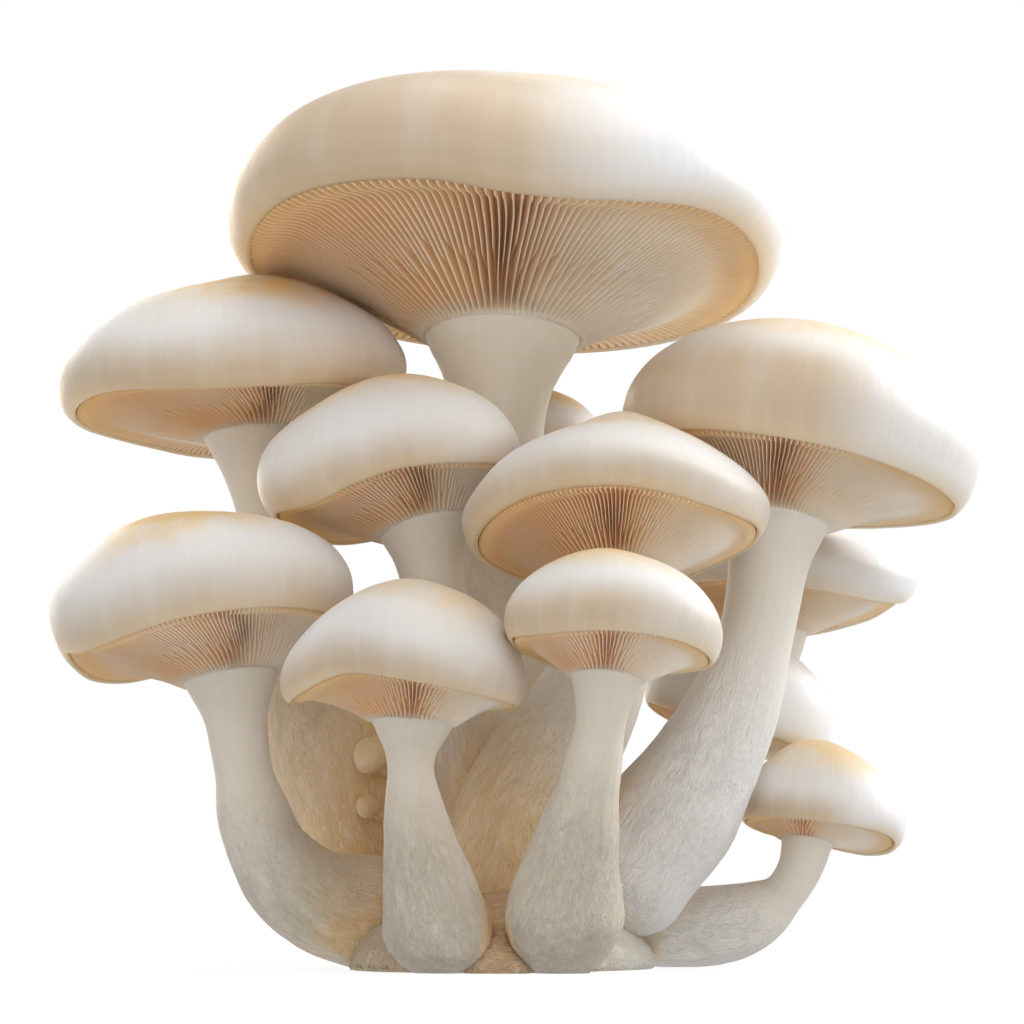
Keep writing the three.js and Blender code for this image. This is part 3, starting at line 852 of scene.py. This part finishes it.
class MUSHROOM_OT_gills(bpy.types.Operator):
    """Pleat the gill layer under every cap into long and short blades."""

    bl_idname = "mushroom.gills"
    bl_label = "Gills"

    def execute(self, context):
        sizes = context.scene.cluster_sizes
        flesh = gill_flesh(context.scene.cluster_colours)
        for number, (name, fans) in enumerate(MUSHROOMS.items()):
            cage = Cage(name + "_gills", corners=(NECK_RING, RIM_RING))
            rows = 42 if name == "top" else 32
            deep = sizes.gill_depth * (1.0 if name == "top" else 0.85)
            seed = number * 31.7

            def place(u, v):
                column = np.round(u * fans * 20).astype(int)
                blade, step = column // 5, column % 5
                s = np.interp(v, [SOLE, UNDERSIDE, 1.0], [0.0, 1.0, 0.0])
                under = v <= UNDERSIDE
                fine = speckle(np.stack([blade * 0.83 + seed, s * 4.5, np.full(len(u), 0.5)], 1))
                broad = speckle(np.stack([blade * 0.11 + seed, s * 1.6, np.full(len(u), 7.5)], 1))
                shift = (fine * 0.8 + broad * 4.0) * sizes.gill_sway
                turn = (blade + BLADE_PLACES[step] + shift) / (fans * 4)
                luck = speckle(np.stack([blade * 1.7 + seed, blade * 0.3, np.full(len(u), 3.5)], 1))
                begins = FAN_STARTS[blade % 4] + 0.10 * luck
                present = smooth(begins, begins + 0.36, s)
                depth = 1 - present * (1 - BLADE_DEPTHS[step])
                lie = deep * (0.35 * smooth(0.0, 0.10, s) + 0.65 * smooth(0.04, 0.60, s)) * under
                edge_k = np.interp(s, [0, 0.25, 0.5, 0.75, 0.93, 1.0], [1, 2, 3, 4, 5, 6])
                roof_k = np.interp(s, [0, 0.35, 0.65, 0.88, 1.0], [10, 9, 8, 7, 6])
                edge, roof = cage.at(turn, edge_k), cage.at(turn, roof_k)
                points = edge + (roof - edge) * (depth * lie)[:, None]
                points = np.where(under[:, None], points, roof)
                pole = cage.grid[0, 0]
                points = pole + (points - pole) * smooth(0.0, SOLE, v)[:, None]
                out = points - cage.middles[RIM_RING]
                out[:, 2] = 0
                out /= np.maximum(np.linalg.norm(out, axis=1, keepdims=True), 1e-9)
                reach = smooth(0.80, 1.0, s) * sizes.gill_reach * cage.radii[RIM_RING]
                points = points + out * reach[:, None]
                points[:, 2] -= reach * GILL_DROP * under
                shade = np.clip(depth * smooth(0.0, 0.12, s), 0, 1)
                across = np.cos(turn * FULL_TURN)
                side = np.stack([across, np.abs(across), np.sin(turn * FULL_TURN)], 1)
                return points, {"blade": np.stack([shade, s, luck * 0.5 + 0.5], 1), "side": side}

            piece = wrapped(name + "_gill_blades", fans * 20, rows, place)
            finished(piece, name + "_gills", flesh)
        return {"FINISHED"}


class MUSHROOM_OT_stems(bpy.types.Operator):
    """Wrap every stem over its CAD rings and comb fibres into its surface."""

    bl_idname = "mushroom.stems"
    bl_label = "Stems"

    def execute(self, context):
        sizes = context.scene.cluster_sizes
        flesh = stem_flesh(context.scene.cluster_colours)
        tree = neighbours_tree()
        for number, name in enumerate(MUSHROOMS):
            cage = Cage(name + "_stem")
            crowd = crowding(cage, tree)
            cage.relax(3, 3)
            cage.corners = (cage.last - 1,)
            normals = cage.normals()
            top = cage.middles[-2] - cage.middles[-3]
            top /= np.linalg.norm(top)
            columns, rows = FINE_STEMS.get(name, OTHER_STEM)

            def place(u, v):
                s = v * cage.length[-1]
                k = np.interp(s, cage.length, np.arange(cage.last + 1))
                points, normal = cage.at(u, k), cage.at(u, k, normals)
                normal /= np.maximum(np.linalg.norm(normal, axis=1, keepdims=True), 1e-9)
                # How much neighbours crowd this corner: it paints shade into the stem's colour.
                taken = np.clip(cage.at(u, k, crowd), 0, 1)
                low = smooth(0.85, 0.30, s / cage.length[-2])
                taken = taken * (0.25 + 0.65 * low) + WARM_STEMS.get(name, 0.0) * low
                radius = np.interp(k, np.arange(cage.last + 1), cage.radii)
                turn = u * FULL_TURN
                grain = np.stack([radius * np.cos(turn), radius * np.sin(turn), s], 1)
                bend = speckle(grain / (9 * MM) + number) * 1.6 * MM
                combed = grain + bend[:, None] * [1, -1, 0]
                coarse = speckle(combed / [0.85 * MM, 0.85 * MM, 5.5 * MM] + number * 5)
                mid = speckle(combed / [0.50 * MM, 0.50 * MM, 3.4 * MM] + number * 9)
                lumps = speckle(grain / (13 * MM) + number * 3)
                below = cage.length[-2] - s
                foot = smooth(0.10, 0.55, below / cage.length[-2])
                amount = sizes.fibre_relief * (0.10 + 0.90 * foot) * smooth(-0.5 * MM, 4 * MM, below)
                lift = amount * (coarse * 0.55 + mid * 0.45) + lumps * sizes.stem_lumps * foot
                floor = points[:, 2] < 0.15 * MM
                points = points + normal * np.where(floor, 0.0, lift)[:, None]
                rise = smooth(3 * MM, 0.0, below) * sizes.stem_rise
                points = points + top * rise[:, None]
                points[:, 2] = np.maximum(points[:, 2], 0.0)
                # Painted light and shade for this stem, stronger towards the foot.
                shading_and_tone = STEM_LIGHT_AND_SHADE.get(name, 0.0) * (0.35 + 0.65 * foot)
                return points, {"grain": grain, "relief": np.stack([shading_and_tone, foot, taken], 1)}

            piece = wrapped(name + "_stem_flesh", columns, rows, place)
            finished(piece, name + "_stem", flesh)
        return {"FINISHED"}


class MUSHROOM_OT_base(bpy.types.Operator):
    """Remesh the fused base at a fine grain and raise its down."""

    bl_idname = "mushroom.base"
    bl_label = "Base"

    def execute(self, context):
        sizes = context.scene.cluster_sizes
        piece = remeshed_copy("base", "base_flesh", BASE_GRAIN)
        mesh = piece.data
        co = corners_of(mesh)
        normal = np.array([v.normal[:] for v in mesh.vertices])
        down = speckle(co / [1.6 * MM, 1.6 * MM, 3.0 * MM])
        push = 0.55 * MM + down * sizes.down_relief * 0.5
        low = co[:, 2] < 0.4 * MM
        co = co + normal * np.where(low, 0.0, push)[:, None]
        middle = (co[:, 0].min() + co[:, 0].max()) / 2
        co[:, 0] = middle + (co[:, 0] - middle) * BASE_SHARE
        co[:, 2] = np.maximum(co[:, 2], 0.0)
        move_corners(mesh, co)
        bpy.ops.object.shade_smooth()
        finished(piece, "base", base_flesh(context.scene.cluster_colours))
        return {"FINISHED"}


class MUSHROOM_OT_buds(bpy.types.Operator):
    """Round off the two buds on the trunk."""

    bl_idname = "mushroom.buds"
    bl_label = "Buds"

    def execute(self, context):
        sizes = context.scene.cluster_sizes
        flesh = bud_flesh(context.scene.cluster_colours)
        for name in BUDS:
            piece = remeshed_copy(name, name + "_flesh", BUD_GRAIN)
            even = piece.modifiers.new("even", "SMOOTH")
            even.factor, even.iterations = 0.5, 12
            bpy.ops.object.modifier_apply(modifier=even.name)
            co = corners_of(piece.data)
            move_corners(piece.data, co + speckle(co / (2.2 * MM))[:, None] * sizes.bud_relief)
            bpy.ops.object.shade_smooth()
            finished(piece, name, flesh)
        return {"FINISHED"}


class MUSHROOM_OT_studio(bpy.types.Operator):
    """Set up the pale floor, the soft lights, the white surround and the camera."""

    bl_idname = "mushroom.studio"
    bl_label = "Studio"

    def execute(self, context):
        studio = context.scene.cluster_studio
        nothing_selected()
        facets, radius = studio.facets, studio.floor_radius
        bpy.ops.mesh.primitive_circle_add(vertices=facets, radius=radius, fill_type="NGON")
        floor = context.active_object
        floor.name = floor.data.name = "studio_floor"
        floor.data.transform(floor.matrix_world)
        floor.location = (0, 0, 0)
        floor.visible_diffuse = False
        f = material("studio_paper")
        away = f.node("ShaderNodeVectorMath", {"operation": "LENGTH"}, [f.place()], "Value")
        glow = f.ramp(away, 0.10, 0.9, 0.88, 1.0)
        values = {
            "Base Color": (0.16, 0.16, 0.16, 1),
            "Roughness": 1.0,
            "Specular IOR Level": 0.0,
            "Emission Strength": 1.0,
            "Emission Color": f.mix(glow, (0, 0, 0), WHITE),
        }
        floor.data.materials.append(f.close(f.node("ShaderNodeBsdfPrincipled", None, values)))

        middle = Vector((0, 0, (CAD_LOW.z + CAD_HIGH.z) / 2))
        # Name, place, size, power in watts and tint of each light.
        lights = (
            ("key_right", (0.75, 0.35, 0.55), 0.55, 6.8, (0.97, 0.99, 1.0)),
            ("front_high", (0.10, -0.85, 0.85), 0.90, 3.0, (1.0, 1.0, 1.0)),
            ("fill_left", (-0.9, -0.4, 0.45), 0.90, 1.6, (1.0, 0.98, 0.96)),
            ("low_right", (0.75, -0.75, 0.03), 0.50, 2.6, (1.0, 0.97, 0.93)),
            ("top_soft", (0.05, 0.20, 0.85), 0.60, 2.0, (1.0, 1.0, 1.0)),
            ("rim_back", (-0.45, 0.75, 0.30), 0.50, 3.2, (1.0, 0.93, 0.82)),
        )
        for name, spot, size, watts, tint in lights:
            nothing_selected()
            bpy.ops.object.light_add(type="AREA", location=spot)
            lamp = context.active_object
            lamp.name = lamp.data.name = name
            lamp.data.size, lamp.data.energy, lamp.data.color = size, watts, tint
            lamp.rotation_euler = (middle - Vector(spot)).to_track_quat("-Z", "Y").to_euler()

        context.scene.world = bpy.data.worlds.new("studio_surround")
        air = Finish(context.scene.world)
        seen = air.node("ShaderNodeLightPath", None, (), "Is Camera Ray")
        dim = air.node("ShaderNodeBackground", None, {"Color": WHITE, "Strength": studio.surround})
        bright = air.node("ShaderNodeBackground", None, {"Color": WHITE, "Strength": 1.0})
        both = air.node("ShaderNodeMixShader", None, [seen, dim, bright])
        air.close(both, "ShaderNodeOutputWorld")

        nothing_selected()
        bpy.ops.object.camera_add(location=(0, -studio.distance, studio.eye_height))
        camera = context.active_object
        camera.name = "studio_camera"
        camera.data.lens, camera.data.sensor_width = studio.lens, studio.sensor
        camera.data.clip_start, camera.data.clip_end = 0.01, 50
        camera.rotation_euler = (middle - camera.location).to_track_quat("-Z", "Y").to_euler()
        context.scene.camera = camera
        context.scene.view_settings.view_transform = "Standard"
        return {"FINISHED"}


class MUSHROOM_PT_cluster(bpy.types.Panel):
    """The cluster's pieces and settings in the sidebar."""

    bl_label = "Oyster Mushroom Cluster"
    bl_idname = "MUSHROOM_PT_cluster"
    bl_space_type = "VIEW_3D"
    bl_region_type = "UI"
    bl_category = "Mushrooms"

    def draw(self, context):
        for operator in PIECES:
            self.layout.operator(operator.bl_idname)
        scene = context.scene
        for group in (scene.cluster_sizes, scene.cluster_colours, scene.cluster_studio):
            for setting in group.bl_rna.properties.keys():
                if setting not in ("rna_type", "name"):
                    self.layout.prop(group, setting)


PIECES = (
    MUSHROOM_OT_studio,
    MUSHROOM_OT_caps,
    MUSHROOM_OT_gills,
    MUSHROOM_OT_stems,
    MUSHROOM_OT_base,
    MUSHROOM_OT_buds,
)
CLASSES = (ClusterSizes, ClusterColours, ClusterStudio, *PIECES, MUSHROOM_PT_cluster)


def register():
    for cls in CLASSES:
        bpy.utils.register_class(cls)
    bpy.types.Scene.cluster_sizes = PointerProperty(type=ClusterSizes)
    bpy.types.Scene.cluster_colours = PointerProperty(type=ClusterColours)
    bpy.types.Scene.cluster_studio = PointerProperty(type=ClusterStudio)


def unregister():
    for name in ("cluster_sizes", "cluster_colours", "cluster_studio"):
        delattr(bpy.types.Scene, name)
    for cls in reversed(CLASSES):
        bpy.utils.unregister_class(cls)


def main():
    register()
    for operator in PIECES:
        category, name = operator.bl_idname.split(".")
        getattr(getattr(bpy.ops, category), name)()


if __name__ == "__main__":
    main()
